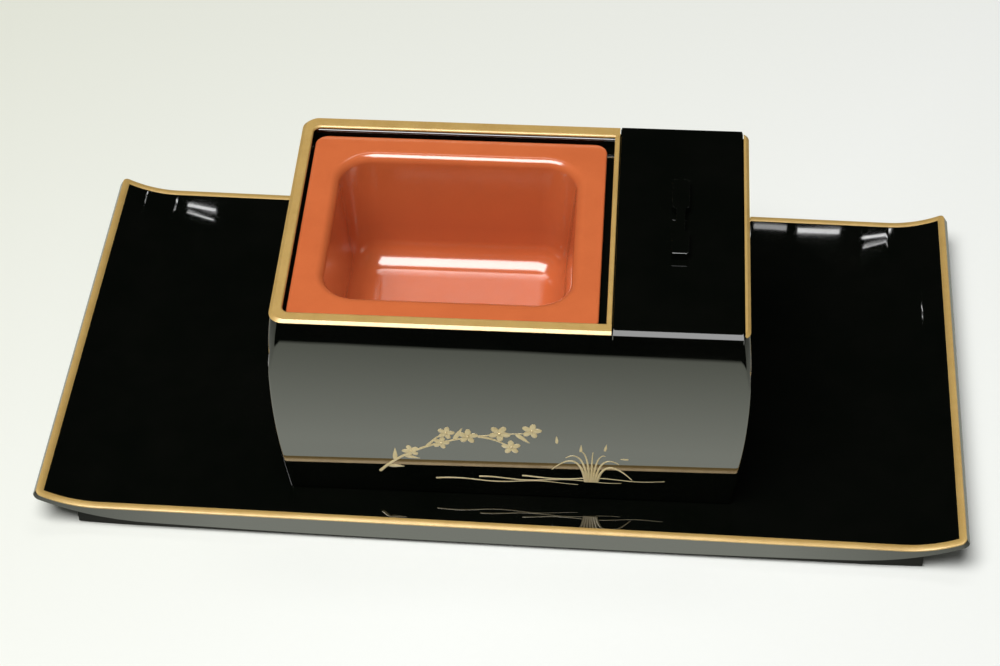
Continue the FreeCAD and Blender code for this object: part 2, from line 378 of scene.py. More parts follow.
underRise = trayTop + trayShape["endRadius"] - tipRadius * math.cos(endTurn) - trayLow.z
underRadius = (trayShape["underRun"] ** 2 + underRise ** 2) / (2 * underRise)


def trayPoint(along, across, depth):
    # along and across are measured on the top surface, depth square to it
    side = math.copysign(1, along)
    turn = max(0.0, abs(along) - flatHalf) / trayShape["endRadius"]
    radius = trayShape["endRadius"] + depth
    x = min(abs(along), flatHalf) + radius * math.sin(turn)
    return side * x, across, trayTop + trayShape["endRadius"] - radius * math.cos(turn)


def trayThickness(along):
    # halves the range of depths until the underside is met
    shallow, deep = 0.0, 30.0
    for _ in range(40):
        depth = (shallow + deep) / 2
        x, _y, z = trayPoint(abs(along), 0, depth)
        run = min(max(0.0, x - underHalf), underRadius)
        under = trayLow.z + underRadius - math.sqrt(underRadius ** 2 - run ** 2)
        if z > under:
            shallow = depth
        else:
            deep = depth
    return depth


def edgeBevel(steps=6):
    # the board's top edge, a bevel with eased ends, as steps in from the side and down from the top
    run, drop, flat = trayShape["edgeRun"], trayShape["edgeDrop"], trayShape["edgeFlat"]
    points = []
    for k, a in enumerate(quarter(steps)):
        points.append((run * ((1 - flat) * (1 - math.sin(a)) + flat * (1 - k / steps)),
                       drop * ((1 - flat) * (1 - math.cos(a)) + flat * k / steps)))
    return points


def traySection(along):
    shape = trayShape
    inset, low, lipWidth = shape["giltSkin"], shape["lowEdge"], shape["lipWidth"]
    toEnd = topReach - abs(along)
    half = trayHigh.y - inset
    if toEnd < shape["corner"]:
        half += math.sqrt(shape["corner"] ** 2 - (shape["corner"] - toEnd) ** 2) - shape["corner"]
    top = inset
    for (inner, high), (outer, deep) in zip(edgeBevel(), edgeBevel()[1:]):
        if outer <= toEnd < inner:
            top += high + (deep - high) * (inner - toEnd) / (inner - outer)
    bottom = trayThickness(along) - shape["underGap"]
    lip = bottom + shape["lip"] * max(shape["lipLeast"], 1 - abs(along / underHalf) ** shape["lipFade"])
    side = [(0.0, top), (half - shape["edgeRun"] - shape["edgeGuard"], top)]
    side += [(half - inward, top + down) for inward, down in edgeBevel()]
    side += [(half, lip - low), (half - low, lip), (half - lipWidth, lip)]
    side += [(half - lipWidth - shape["lipStep"], bottom), (0.0, bottom)]
    loop = side + [(-y, depth) for y, depth in reversed(side[1:-1])]
    return [trayPoint(along, y, depth) for y, depth in loop]


def trayStations(inset):
    shape = trayShape
    cornerStart = topReach - shape["corner"]
    sweep = [underHalf + shape["sweepStep"] * k for k in range(3)]
    steps = shape["bendSteps"]
    turnUp = [flatHalf + (cornerStart - flatHalf) * k / steps for k in range(steps + 1)]
    ends = [topReach - shape["corner"] * share for share in shape["cornerSteps"]]
    half = [*shape["flatSteps"], *sweep, flatHalf - 1.0, *turnUp, *ends, topReach - inset]
    return [-u for u in reversed(half)] + half


trayMesh = skin("trayBoard", [traySection(u) for u in trayStations(trayShape["giltSkin"])])
addPiece("trayBoard", trayMesh, "tray", lacquer, ["tray_board"])
# painted shade: the feet take the dark matte undercoat, which also stands in for the shaded floor their
# lacquer would mirror
dress(undercoatAndShade, "tray_foot_front", "tray_foot_back")


def trayEdgeLine():
    # the board's outline on its top surface, round from the front left corner
    corner, half = trayShape["corner"], trayHigh.y
    cornerStart, cornerSide = topReach - corner, half - corner
    run = [u for u in trayStations(0.0) if abs(u) <= cornerStart + 1e-6]
    arc = [(cornerStart + corner * math.sin(a), cornerSide + corner * math.cos(a)) for a in quarter(6)[1:]]
    line = [(u, -half) for u in run]
    line += [(u, -y) for u, y in arc]
    line += [(u, y) for u, y in reversed(arc)]
    line += [(u, half) for u in reversed(run)]
    line += [(-u, y) for u, y in arc]
    line += [(-u, -y) for u, y in reversed(arc)]
    return line


def trayGiltRows():
    # a shallow crown over the bevel, with a thin back that lies inside the board
    shape = trayShape
    wide, drop, thick = shape["giltTop"], shape["giltDrop"], shape["giltThick"]
    slopes = quarter(10, shape["crownIn"], shape["crownOut"])
    inner, outer = slopes[0], slopes[-1]
    crown = wide / (math.sin(outer) - math.sin(inner))
    face = [(crown * (math.sin(outer) - math.sin(a)), crown * (math.cos(inner) - math.cos(a)))
            for a in slopes]
    face += [(0.0, drop)]
    back = [(thick, drop), (thick, shape["edgeDrop"]), (shape["edgeRun"], thick), (wide, thick)]
    rows = []
    for along, across in trayEdgeLine():
        inAlong = max(-topReach + wide, min(topReach - wide, along))
        inAcross = max(-trayHigh.y + wide, min(trayHigh.y - wide, across))
        row = []
        for inward, depth in face + back:
            share = inward / wide
            atAlong = along + (inAlong - along) * share
            atAcross = across + (inAcross - across) * share
            row.append(trayPoint(atAlong, atAcross, depth))
        rows.append(row)
    return rows


addPiece("trayGilt", skin("trayGilt", trayGiltRows(), True), "tray", gilt)
print("tray built")


boxShape = {
    "sideBulge": 2.4, "bulgeBelowRim": 54.0, "footInset": 3.0,       # barrel-sided end walls
    "frontInset": 1.0,                                               # front and back lean in to the foot
    "rimWidth": 5.4, "longRim": 6.5, "rimRound": 0.9,                # longRim: front and back
    "bevelRun": 1.4, "bevelDrop": 1.0,                               # bevel along the rim
    "lipRun": 1.2, "backRun": 0.4,                                   # narrower right, steeper back
    "innerTaper": 2.0, "taperTop": 0.017, "footRound": 0.5,
    "cornerLeft": 7.0, "cornerRight": 5.5, "innerCorner": 3.6,
    "cornerLow": 1.4, "cornerFade": 32.0,                            # the corners sharpen below the rim
    "giltSkin": 0.05, "giltDrop": 0.15, "giltThick": 0.2,
    "levels": 20,
    "slotGap": 0.3, "slotClear": 20.0, "giltClear": 10.0,            # the lid's slot across the right end
}
leftLow, leftHigh = boxOf("box_left_wall")
rightEnd = boxOf("box_right_wall")[1].x
lidLow, lidHigh = boxOf("lid_plate")
dividerLow, dividerHigh = boxOf("box_divider")
boxX = (leftLow.x + rightEnd) / 2
boxY = (leftLow.y + leftHigh.y) / 2
boxFoot, boxRim = leftLow.z, leftHigh.z
rimHalf = (rightEnd - leftLow.x) / 2 - boxShape["sideBulge"]
depthHalf = (leftHigh.y - leftLow.y) / 2
seatZ = lidLow.z


def circleThrough(first, second, third):
    ax, ay = first
    bx, by = second
    cx, cy = third
    twice = 2 * (ax * (by - cy) + bx * (cy - ay) + cx * (ay - by))
    a2, b2, c2 = ax * ax + ay * ay, bx * bx + by * by, cx * cx + cy * cy
    x = (a2 * (by - cy) + b2 * (cy - ay) + c2 * (ay - by)) / twice
    y = (a2 * (cx - bx) + b2 * (ax - cx) + c2 * (bx - ax)) / twice
    return x, y, math.hypot(ax - x, ay - y)


barrelX, barrelZ, barrelRadius = circleThrough(
    (rimHalf - boxShape["footInset"], boxFoot),
    (rimHalf + boxShape["sideBulge"], boxRim - boxShape["bulgeBelowRim"]),
    (rimHalf, boxRim))


def barrelHalf(z):
    return barrelX + math.sqrt(barrelRadius ** 2 - (z - barrelZ) ** 2)


def cornerAt(top, z):
    fade = min(1.0, max(0.0, (boxRim - z) / boxShape["cornerFade"]))
    return top + (boxShape["cornerLow"] - top) * fade


def leanIn(z):
    return boxShape["frontInset"] * max(0.0, boxRim - z) / (boxRim - boxFoot)


def stepIn(inward, bevel, wide):
    # a step across the left-hand rim, as it falls on a side with another bevel or width
    run = boxShape["bevelRun"]
    if inward <= run:
        return inward * (bevel / run if inward > 0 else 1)
    return bevel + (inward - run) * (wide - bevel) / (boxShape["rimWidth"] - run)


def rimRing(inward, z, half=None):
    # one level of the wall, at a distance in from its outer face
    shape = boxShape
    share = min(1.0, max(0.0, inward / shape["rimWidth"]))
    left, right = cornerAt(shape["cornerLeft"], z), cornerAt(shape["cornerRight"], z)
    left += (shape["innerCorner"] - left) * share
    right += (shape["innerCorner"] - right) * share
    halfX = half or rimHalf
    onRight = stepIn(inward, shape["lipRun"], shape["rimWidth"])
    onFront = stepIn(inward, shape["bevelRun"], shape["longRim"])
    onBack = stepIn(inward, shape["backRun"], shape["longRim"])
    if inward < 1:
        onFront += leanIn(z)
        onBack += leanIn(z)
    return outline(boxX - halfX + inward, boxX + halfX - onRight, boxY - depthHalf + onFront,
                   boxY + depthHalf - onBack, (left, right), z)


def boxShellRows():
    # up the inside, over the rim and down the outside
    shape = boxShape
    wide, edge, foot = shape["rimWidth"], shape["rimRound"], shape["footRound"]
    rows = [rimRing(wide, boxFoot, rimHalf - shape["innerTaper"])]
    rows.append(rimRing(wide, boxRim - edge - 1.0, rimHalf - shape["innerTaper"] * shape["taperTop"]))
    for a in quarter(4):
        rows.append(rimRing(wide - edge + edge * math.cos(a), boxRim - edge + edge * math.sin(a)))
    rows.append(rimRing(shape["bevelRun"], boxRim))
    high, low = boxRim - shape["bevelDrop"], boxFoot + foot
    for k in range(shape["levels"] + 1):
        z = high - (high - low) * k / shape["levels"]
        rows.append(rimRing(0.0, z, barrelHalf(z)))
    rows.append(rimRing(foot, boxFoot, barrelHalf(boxFoot)))
    return rows


slotGap, slotClear = boxShape["slotGap"], boxShape["slotClear"]
slotLow = Vector((lidLow.x - slotGap, boxY - depthHalf - slotClear, seatZ))
slotHigh = Vector((lidHigh.x + slotGap, boxY + depthHalf + slotClear, boxRim + slotClear))
shellMesh = cutAway(skin("boxShell", boxShellRows(), True), slotLow, slotHigh)
wallNodes = ["box_front_wall", "box_back_wall", "box_left_wall", "box_right_wall"]
addPiece("boxShell", shellMesh, "box", lacquer, wallNodes, 25)


def rimGiltRows():
    shape = boxShape
    wide, edge, run = shape["rimWidth"], shape["rimRound"], shape["bevelRun"]
    over, thick = shape["giltSkin"], shape["giltThick"]
    outer = edge + over
    bevelLow = boxRim - shape["bevelDrop"]
    giltLow = bevelLow - shape["giltDrop"]
    face = [(wide - edge + outer * math.cos(a), boxRim - edge + outer * math.sin(a)) for a in quarter(5)]
    face += [(run, boxRim + over), (-over, bevelLow + over), (-over, giltLow)]
    back = [(thick, giltLow), (run, boxRim - thick)]
    back += [(wide - edge, boxRim - thick), (wide - thick, boxRim - edge)]
    rows = []
    for inward, z in face + back:
        half = barrelHalf(min(z, boxRim)) if inward < 1 else None
        rows.append(rimRing(inward, z, half))
    return rows


# the gilt stops at the slot, and the front bevel to the right of it is bare
giltSlotLow = Vector((slotLow.x, slotLow.y, seatZ - boxShape["giltClear"]))
bareFront = boxY - depthHalf + boxShape["bevelRun"] + 0.1
bareHigh = Vector((boxX + rimHalf + slotClear, bareFront, boxRim + slotClear))
rimMesh = cutAway(skin("rimGilt", rimGiltRows(), True), giltSlotLow, slotHigh)
rimMesh = cutAway(rimMesh, giltSlotLow, bareHigh)
addPiece("rimGilt", rimMesh, "box", gilt, (), 25)


sprayShape = {
    "seed": 11,
    "branch": ((-60.0, 27.0), (-40.0, 53.0), (10.0, 56.0)), "branchWidth": 0.8,   # millimetres across and up
    "twigs": ((0.42, (9.0, 9.5)), (0.74, (15.0, -6.5))), "twigBow": 1.2,          # place on the branch, reach
    "buds": (0.3, 0.5, 0.68, 0.86, 1.0), "blossom": (8.0, 10.5),
    "leaves": (0.08, 0.16, 0.24, 0.6, 0.93), "leaf": 9.0, "leafTurn": 48,
    "fallen": (22.0, 50.0), "fallenStep": (11.0, -2.0), "fallenZag": 3.0, "petal": 4.5,
    "grassFoot": (38.0, 25.0), "grassHigh": 22.0, "grassWidth": 0.75,
    "blades": (-2.6, -1.7, -0.8, 0.1, 0.9, 1.8, 2.7), "bladeBow": 2.2, "bladeReach": 7.0, "bladeDroop": 2.3,
    "streamFrom": -34.0, "streamShift": 20.0, "streamLow": 23.5, "streamStep": 1.7, "streamWidth": 0.42,
    "wave": 0.7, "waveTurn": 0.33,
    "relief": 0.04, "leafRelief": 0.6,                                            # height by size
}


def bend(points, t):
    first, bow, last = [Vector(point) for point in points]
    return first.lerp(bow, t).lerp(bow.lerp(last, t), t)


def seedMesh(name, marks):
    # one point for each blossom or leaf, with its size and turn
    mesh = bpy.data.meshes.new(name)
    mesh.from_pydata([(x * mm, y * mm, 0.0) for x, y, size, turn in marks], [], [])
    sizes, turns = [mark[2] * mm for mark in marks], [mark[3] for mark in marks]
    for key, values in (("size", sizes), ("turn", turns)):
        mesh.attributes.new(key, "FLOAT", "POINT").data.foreach_set("value", values)
    return mesh


def lineMesh(name, lines):
    mesh = bpy.data.meshes.new(name)
    points, edges = [], []
    for line in lines:
        edges += [(len(points) + k, len(points) + k + 1) for k in range(len(line) - 1)]
        points += [(x * mm, y * mm, 0.0) for x, y in line]
    mesh.from_pydata(points, edges, [])
    return mesh


def grow(name, seeds, build, key, value):
    # runs a node tree on the seeds and keeps what it makes as a plain mesh
    tree = bpy.data.node_groups.new(name, "GeometryNodeTree")
    paint = Paint(tree)
    tree.interface.new_socket("Seeds", in_out="INPUT", socket_type="NodeSocketGeometry")
    knob = tree.interface.new_socket(key, in_out="INPUT", socket_type="NodeSocketFloat")
    tree.interface.new_socket("Grown", in_out="OUTPUT", socket_type="NodeSocketGeometry")
    grown = paint.node("GeometryNodeRealizeInstances", None, {"Geometry": build(paint)})
    grown = paint.node("GeometryNodeSetMaterial", None, {"Geometry": grown, "Material": dustedGilt})
    paint.node("NodeGroupOutput", None, {"Grown": grown})
    holder = placed(name, seeds)
    run = holder.modifiers.new("grow", "NODES")
    run.node_group = tree
    run[knob.identifier] = value
    mesh = plainMesh(holder, name)
    bpy.data.objects.remove(holder)
    return mesh


def given(paint, key):
    return paint.node("NodeGroupInput", out=key)


def onSeeds(paint, unit):
    turn, size = [paint.node("GeometryNodeInputNamedAttribute", {"data_type": "FLOAT"}, {"Name": key})
                  for key in ("turn", "size")]
    return paint.node("GeometryNodeInstanceOnPoints", None, {
        "Points": given(paint, "Seeds"), "Instance": unit,
        "Rotation": paint.vector(0.0, 0.0, turn), "Scale": paint.vector(size, size, size)})


def pebble(paint, long, wide, high, x=0.0):
    # a flat rounded pebble, long axis along x
    ball = paint.node("GeometryNodeMeshUVSphere", None, {"Segments": 20, "Rings": 10, "Radius": 1.0})
    return paint.node("GeometryNodeTransform", None, {
        "Geometry": ball, "Translation": paint.vector(x, 0.0, 0.0),
        "Scale": paint.vector(long, wide, high)})


def blossoms(paint):
    # five petals round a raised heart
    relief = given(paint, "Relief")
    ring = paint.node("GeometryNodeMeshCircle", None, {"Vertices": 5, "Radius": 0.27})
    step = paint.node("GeometryNodeInputIndex") * (2 * math.pi / 5)
    petals = paint.node("GeometryNodeInstanceOnPoints", None, {
        "Points": ring, "Instance": pebble(paint, 0.225, 0.15, relief),
        "Rotation": paint.vector(0.0, 0.0, step)})
    heart = pebble(paint, 0.075, 0.075, relief * 1.8)
    return onSeeds(paint, paint.node("GeometryNodeJoinGeometry", None, {"Geometry": [petals, heart]}))


def leaves(paint):
    # wider at the stalk than at the tip
    whole = pebble(paint, 0.5, 0.15, given(paint, "Relief"), 0.5)
    x, y, z = paint.axes(paint.node("GeometryNodeInputPosition"))
    tapered = paint.vector(x, y * (1.25 - x * 0.95), z)
    leaf = paint.node("GeometryNodeSetPosition", None, {"Geometry": whole, "Position": tapered})
    return onSeeds(paint, leaf)


def strokes(paint):
    # tubes that thin out towards the tip and lie half as high as they are wide
    curve = paint.node("GeometryNodeMeshToCurve", None, {"Mesh": given(paint, "Seeds")})
    ring = paint.node("GeometryNodeCurvePrimitiveCircle", None, {
        "Resolution": 10, "Radius": given(paint, "Width")})
    along = paint.node("GeometryNodeSplineParameter", out="Factor")
    tube = paint.node("GeometryNodeCurveToMesh", None, {
        "Curve": curve, "Profile Curve": ring, "Scale": 1.0 - along * 0.7, "Fill Caps": True})
    x, y, z = paint.axes(paint.node("GeometryNodeInputPosition"))
    return paint.node("GeometryNodeSetPosition", None, {
        "Geometry": tube, "Position": paint.vector(x, y, z * 0.5)})


def plumBranch(chance):
    # blossoms and leaves as place, size and turn, then the lines of the wood
    shape = sprayShape
    branch = shape["branch"]
    twigs = [(bend(branch, t), Vector(reach)) for t, reach in shape["twigs"]]
    buds = [bend(branch, t) + Vector((chance.uniform(-1.5, 1.5), chance.uniform(-1.5, 2.5)))
            for t in shape["buds"]]
    buds += [start + reach for start, reach in twigs]
    flowers = [(bud.x, bud.y, chance.uniform(*shape["blossom"]), chance.uniform(0.0, 6.28)) for bud in buds]
    foliage = []
    for k, t in enumerate(shape["leaves"]):
        node, ahead = bend(branch, t), bend(branch, t + 0.05) - bend(branch, t)
        turn = math.atan2(ahead.y, ahead.x) + math.radians(shape["leafTurn"] * (1 if k % 2 else -1))
        foliage.append((node.x, node.y, shape["leaf"] * chance.uniform(0.85, 1.15), turn))
    (fallX, fallY), (stepX, stepY) = shape["fallen"], shape["fallenStep"]
    for k in range(4):
        x, y = fallX + stepX * k, fallY - shape["fallenZag"] * (k % 2) + stepY * k
        foliage.append((x, y, shape["petal"] * chance.uniform(0.8, 1.2), chance.uniform(0.0, 3.1)))
    wood = [[bend(branch, k / 24) for k in range(25)]]
    for start, reach in twigs:
        bow = [Vector((0.0, shape["twigBow"] * math.sin(math.pi * k / 6))) for k in range(7)]
        wood.append([start.lerp(start + reach, k / 6) + bow[k] for k in range(7)])
    return flowers, foliage, wood


def grassClump(chance):
    shape = sprayShape
    footX, footY = shape["grassFoot"]
    grass = []
    for k in shape["blades"]:
        high = shape["grassHigh"] * chance.uniform(0.85, 1.05)
        tip = (footX + shape["bladeReach"] * k, footY + high - shape["bladeDroop"] * k * k)
        arch = ((footX + k, footY), (footX + shape["bladeBow"] * k, footY + high), tip)
        grass.append([bend(arch, i / 14) for i in range(15)])
    return grass


def streamLines():
    shape = sprayShape
    stream = []
    for k in range(3):
        low = shape["streamLow"] + shape["streamStep"] * k
        start = shape["streamFrom"] + shape["streamShift"] * k
        stream.append([(start + 2.0 * i, low + shape["wave"] * math.sin(shape["waveTurn"] * i + k))
                       for i in range(34)])
    return stream


def goldSpray():
    # a plum branch, a clump of grass and a stream, drawn flat and then stood up against the front
    shape = sprayShape
    chance = random.Random(shape["seed"])
    flowers, foliage, wood = plumBranch(chance)
    relief = shape["relief"]
    parts = [
        grow("blossoms", seedMesh("blossomSeeds", flowers), blossoms, "Relief", relief),
        grow("leaves", seedMesh("leafSeeds", foliage), leaves, "Relief", relief * shape["leafRelief"]),
    ]
    for name, lines in (("branch", wood), ("grass", grassClump(chance)), ("stream", streamLines())):
        width = shape[name + "Width"] * mm
        parts.append(grow(name, lineMesh(name + "Lines", lines), strokes, "Width", width))
    work = bmesh.new()
    for part in parts:
        work.from_mesh(part)
    bmesh.ops.recalc_face_normals(work, faces=work.faces)
    mesh = meshOf(work, "goldSpray")
    lean = Matrix.Translation(Vector((boxX, boxY - depthHalf + leanIn(0.0), 0.0)) * mm)
    lean[1][2] = leanIn(1.0) - leanIn(0.0)
    mesh.transform(lean @ Matrix.Rotation(math.pi / 2, 4, "X"))
    return mesh


addPiece("goldSpray", goldSpray(), "box", dustedGilt)


dividerShape = {
    "strip": 2.3, "edgeRound": 0.5,
    "giltSkin": 0.04, "giltIn": 1.2, "giltDrop": 0.9, "giltInset": 0.3,
}


def bar(points, y0, y1):
    return [[(x, y, z) for x, z in points] for y in (y0, y1)]


def stripTop(radius, steps):
    # the strip's rounded top, from its right side to its left
    edge = dividerShape["edgeRound"]
    right, left = dividerLow.x + dividerShape["strip"] - edge, dividerLow.x + edge
    z = boxRim - edge
    points = [(right + radius * math.cos(a), z + radius * math.sin(a)) for a in quarter(steps)]
    return points + [(left - radius * math.sin(a), z + radius * math.cos(a)) for a in quarter(steps)]


def dividerRows():
    # the lid rests on the low side of the divider, and the strip stands up beside it
    x0, x1 = dividerLow.x, dividerHigh.x
    step = x0 + dividerShape["strip"]
    points = [(x0, dividerLow.z), (x1, dividerLow.z), (x1, seatZ), (step, seatZ)]
    points += stripTop(dividerShape["edgeRound"], 3)
    return bar(points, dividerLow.y, dividerHigh.y)


def dividerGiltRows():
    shape = dividerShape
    x0, over, inset = dividerLow.x, shape["giltSkin"], shape["giltInset"]
    step, low = x0 + shape["strip"], boxRim - shape["giltDrop"]
    points = [(x0 + inset, low), (step - inset, low), (step + over, low)]
    points += stripTop(shape["edgeRound"] + over, 4)
    points += [(x0 - over, low)]
    inside = depthHalf - boxShape["longRim"] + shape["giltIn"]
    return bar(points, boxY - inside, boxY + inside)


addPiece("divider", skin("divider", dividerRows()), "box", lacquer, ["box_divider"])
addPiece("dividerGilt", skin("dividerGilt", dividerGiltRows()), "box", gilt)


beadShape = {"radius": 0.7, "belowRim": 2.2, "sunk": 1.0}


def beadRows():
    # a round bead along the inside of the back wall, above the tub's seat
    y = boxY + depthHalf - boxShape["longRim"]
    z, radius, sunk = boxRim - beadShape["belowRim"], beadShape["radius"], beadShape["sunk"]
    loop = [(y + radius * math.cos(a), z + radius * math.sin(a)) for a in quarter(16, 0, 337.5)]
    ends = (boxX - rimHalf + boxShape["rimWidth"] - sunk, dividerLow.x + sunk)
    return [[(x, py, pz) for py, pz in loop] for x in ends]


addPiece("backBead", skin("backBead", beadRows()), "box", lacquer)
dress(undercoatAndShade, "box_bottom_board")
dress(lacquer, "tub_ledge_front", "tub_ledge_back", "tub_ledge_left", "tub_ledge_divider")
print("box built")


tubShape = {
    "flangeEdges": (13.7, 13.1, 15.7, 14.3),   # left, right, front, back
    "flange": 3.0, "flangeCorner": 6.0, "flangeEdge": 0.9,
    "wall": 2.5, "draft": 5.5,
    "cornerTop": 16.0, "cornerFloor": 13.0,
    "floorRound": 12.0, "lipRound": 4.0,
    "guard": 1.0,                              # keeps the flat faces' shading flat beside the roundings
    "cornerPoints": 12, "sideGuard": 0.6,
}
tubLow, tubHigh = boxOf("red_tub")
tubFloor = tubLow.z + tubShape["wall"]
tubDepth = tubHigh.z - tubFloor


def tubRing(insets, radius, z):
    left, right, front, back = insets
    return outline(tubLow.x + left, tubHigh.x - right, tubLow.y + front, tubHigh.y - back,
                   (radius, radius), z, tubShape["cornerPoints"], tubShape["sideGuard"])


def bowlRing(z, outset):
    shape = tubShape
    share = (tubHigh.z - z) / tubDepth
    inset = shape["draft"] * share - outset
    radius = shape["cornerTop"] + (shape["cornerFloor"] - shape["cornerTop"]) * share + outset
    return tubRing([edge + inset for edge in shape["flangeEdges"]], radius, z)


def flangeRing(inset, z):
    return tubRing([inset] * 4, tubShape["flangeCorner"] - inset, z)


def tubRows():
    # from the middle of the floor up over the lip and the flange, then down the outside
    shape = tubShape
    floorRound, lip, edge = shape["floorRound"], shape["lipRound"], shape["flangeEdge"]
    wall, guard = shape["wall"], shape["guard"]
    rows = [bowlRing(tubFloor, -floorRound - guard)]
    for a in quarter(10):
        rows.append(bowlRing(tubFloor + floorRound * (1 - math.cos(a)), -floorRound * (1 - math.sin(a))))
    rows.append(bowlRing(tubHigh.z - lip - 2 * guard, 0.0))
    for a in quarter(8):
        rows.append(bowlRing(tubHigh.z - lip + lip * math.sin(a), lip * (1 - math.cos(a))))
    rows.append(bowlRing(tubHigh.z, lip + guard))
    rows.append(flangeRing(edge + guard, tubHigh.z))
    for a in quarter(4):
        rows.append(flangeRing(edge - edge * math.sin(a), tubHigh.z - edge + edge * math.cos(a)))
    under = tubHigh.z - shape["flange"]
    rows.append(flangeRing(0.0, under + edge))
    rows.append(flangeRing(edge, under))
    rows.append(bowlRing(under, wall))
    outRound = floorRound + wall
    for a in quarter(8, 90, 0):
        rows.append(bowlRing(tubLow.z + outRound * (1 - math.cos(a)), wall - outRound * (1 - math.sin(a))))
    rows.append(bowlRing(tubLow.z, wall - outRound - guard))
    return rows


addPiece("redTub", skin("redTub", tubRows()), "tub", vermilion, ["red_tub"])
print("tub built")


lidShape = {
    "edgeRound": 0.4, "corner": 0.8, "cornerLeast": 0.15,
    "bevelRun": 4.2, "bevelDrop": 0.84,   # bevelled along the front end
    "underGuard": 1.5, "topGuard": 2.0,
}


def lidRows():
    shape = lidShape
    edge, run, under, guard = shape["edgeRound"], shape["bevelRun"], shape["underGuard"], shape["topGuard"]

    def ring(side, front, z):
        radius = max(shape["cornerLeast"], shape["corner"] - side)
        return outline(lidLow.x + side, lidHigh.x - side, lidLow.y + front, lidHigh.y - side,
                       (radius, radius), z, 4, 0.6)

    return [
        ring(under, under, lidLow.z), ring(edge, edge, lidLow.z), ring(0.0, 0.0, lidLow.z + edge),
        ring(0.0, 0.0, lidHigh.z - shape["bevelDrop"]), ring(edge, run, lidHigh.z),
        ring(edge + guard, run + guard, lidHigh.z),
    ]


addPiece("lidPlate", skin("lidPlate", lidRows()), "lid", lacquer, ["lid_plate"], 20)


handleShape = {
    "waist": 4.0, "waistLength": 15.0, "waistForward": 2.4, "shoulder": 1.2,
    "topRound": 0.3, "endRound": 0.9, "topGuard": 0.5, "sunk": 0.1,
}
handleLow, handleHigh = boxOf("lid_handle")


def handleRows():
    shape = handleShape
    midX = (handleLow.x + handleHigh.x) / 2
    midY = (handleLow.y + handleHigh.y) / 2
    wide, long = handleHigh.x - midX, handleHigh.y - midY
    slim, waist, shoulder = shape["waist"] / 2, shape["waistLength"] / 2, shape["shoulder"]
    end, edge = shape["endRound"], shape["topRound"]

    def halfWidth(fromWaist):
        share = min(1.0, max(0.0, (abs(fromWaist) - waist) / shoulder))
        return slim + (wide - slim) * share * share * (3 - 2 * share)

    run = [waist + shoulder * k / 6 for k in range(7)]
    run = [-y for y in reversed(run)] + [0.0] + run
    tip = [(wide - end + end * math.sin(a), -long + end - end * math.cos(a)) for a in quarter(3)]
    side = tip + [(halfWidth(y), y - shape["waistForward"]) for y in run]
    side += [(x, -y) for x, y in reversed(tip)]
    loop = side + [(-x, y) for x, y in reversed(side)]

    def ring(inset, z):
        return [(midX + x * (1 - inset / max(abs(x), wide * 0.5)), midY + y * (long - inset) / long, z)
                for x, y in loop]

    rows = [ring(0.0, handleLow.z - shape["sunk"])]
    rows += [ring(edge - edge * math.cos(a), handleHigh.z - edge + edge * math.sin(a)) for a in quarter(4)]
    rows.append(ring(edge + shape["topGuard"], handleHigh.z))
    return rows


addPiece("lidHandle", skin("lidHandle", handleRows()), "lid", lacquer, ["lid_handle"])
dress(undercoatAndShade, "lid_batten_front", "lid_batten_back")
print("lid built")


floorLook = {
    "half": 6.0,
    "white": colour(0.877, 0.892, 0.857), "shade": colour(0.695, 0.710, 0.605),
    "toneAside": 1.33, "toneAway": 0.77, "toneFrom": -0.85, "toneTo": 0.1,   # painted shade: paler to the front and right, darker to the back and left
    "fibre": colour(0.72, 0.73, 0.67), "fibreScale": 240.0, "fibreShare": 0.03,
    "mirrorFront": -0.1986, "mirrorSkew": 0.0245, "mirrorSoft": 0.0012,         # painted reflection: front end of the floor's glow that glossy rays see
    "mirrorNear": colour(0.96, 1.0, 0.86), "mirrorFar": colour(0.46, 0.485, 0.40), "nearLine": -0.135,
    "mirrorDark": colour(0.002, 0.002, 0.002),
    "mirrorLevel": 1.06,                                                     # brightness of the painted reflection in the lacquer
    "wingFrom": 0.13, "wingTo": 0.28, "wingLevel": 0.2,                      # the painted reflection dimmer to the left and right
}


def whiteFloor():
    look = floorLook
    material, paint, place = newFinish("whiteFloor")
    fibre = paint.noise(place, look["fibreScale"], 4.0, 0.6)
    aside, away = paint.axes(place)[:2]
    # painted shade: the floor's colour darkens towards the back and left
    slant = aside * look["toneAside"] - away * look["toneAway"]
    tone = paint.spread(slant, look["toneFrom"], look["toneTo"], 0.0, 1.0)
    tone = paint.blend(tone, look["shade"], look["white"])
    shade = paint.blend(paint.spread(fibre, 0.3, 0.7, 0.0, look["fibreShare"]), tone, look["fibre"])
    matte = paint.surface({"Base Color": shade, "Roughness": 1.0, "Specular IOR Level": 0.0})
    # painted reflection: glossy rays see the floor glow, bright in front of the tray and dark beyond its
    # front end
    deep = away - aside * look["mirrorSkew"]
    front, soft = look["mirrorFront"], look["mirrorSoft"]
    near = paint.spread(deep, front, look["nearLine"], 0, 1)
    mirrorTone = paint.blend(near, look["mirrorFar"], look["mirrorNear"])
    fromMiddle = paint.maths("ABSOLUTE", aside, 0)
    wings = paint.spread(fromMiddle, look["wingFrom"], look["wingTo"], 1.0, look["wingLevel"])
    lit = wings * paint.spread(deep, front - soft, front + soft, 0, 1)
    seen = paint.blend(lit, look["mirrorDark"], mirrorTone)
    paintedReflection = paint.surface({
        "Base Color": colour(0, 0, 0), "Specular IOR Level": 0.0,
        "Emission Color": seen, "Emission Strength": look["mirrorLevel"]})
    glossy = paint.node("ShaderNodeLightPath", out="Is Glossy Ray")
    paint.close(paint.node("ShaderNodeMixShader", None, {0: glossy, 1: matte, 2: paintedReflection}))
    return material


